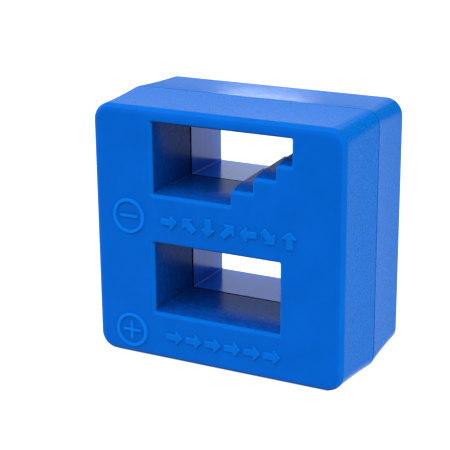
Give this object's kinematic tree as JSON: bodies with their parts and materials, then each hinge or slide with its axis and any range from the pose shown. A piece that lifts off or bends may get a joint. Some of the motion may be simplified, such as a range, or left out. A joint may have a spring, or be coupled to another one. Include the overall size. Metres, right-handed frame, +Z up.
{
  "type": "magnetizer demagnetizer block",
  "caption": "Moulded hand-held block with a plain window that magnetizes a tool drawn through it and a stepped window above that demagnetizes it.",
  "frame": {"origin": "on the ground, under the middle of the block's width and depth, with the block standing upright", "axes": "+X to the right across the front, towards the stair; +Y from the front with the symbols to the rear; +Z up"},
  "size_m": [0.052, 0.028, 0.05],
  "materials": {
    "shell": "injection-moulded ABS, satin faces and spark-eroded grain on the sides",
    "magnet": "ground sintered ferrite",
    "pad": "closed-cell foam"
  },
  "bodies": {
    "root": {"front_shell": "shell", "rear_shell": "shell", "bridge_magnet": "magnet", "base_magnet": "magnet", "bridge_pad": "pad", "base_pad": "pad"}
  },
  "joints": []
}
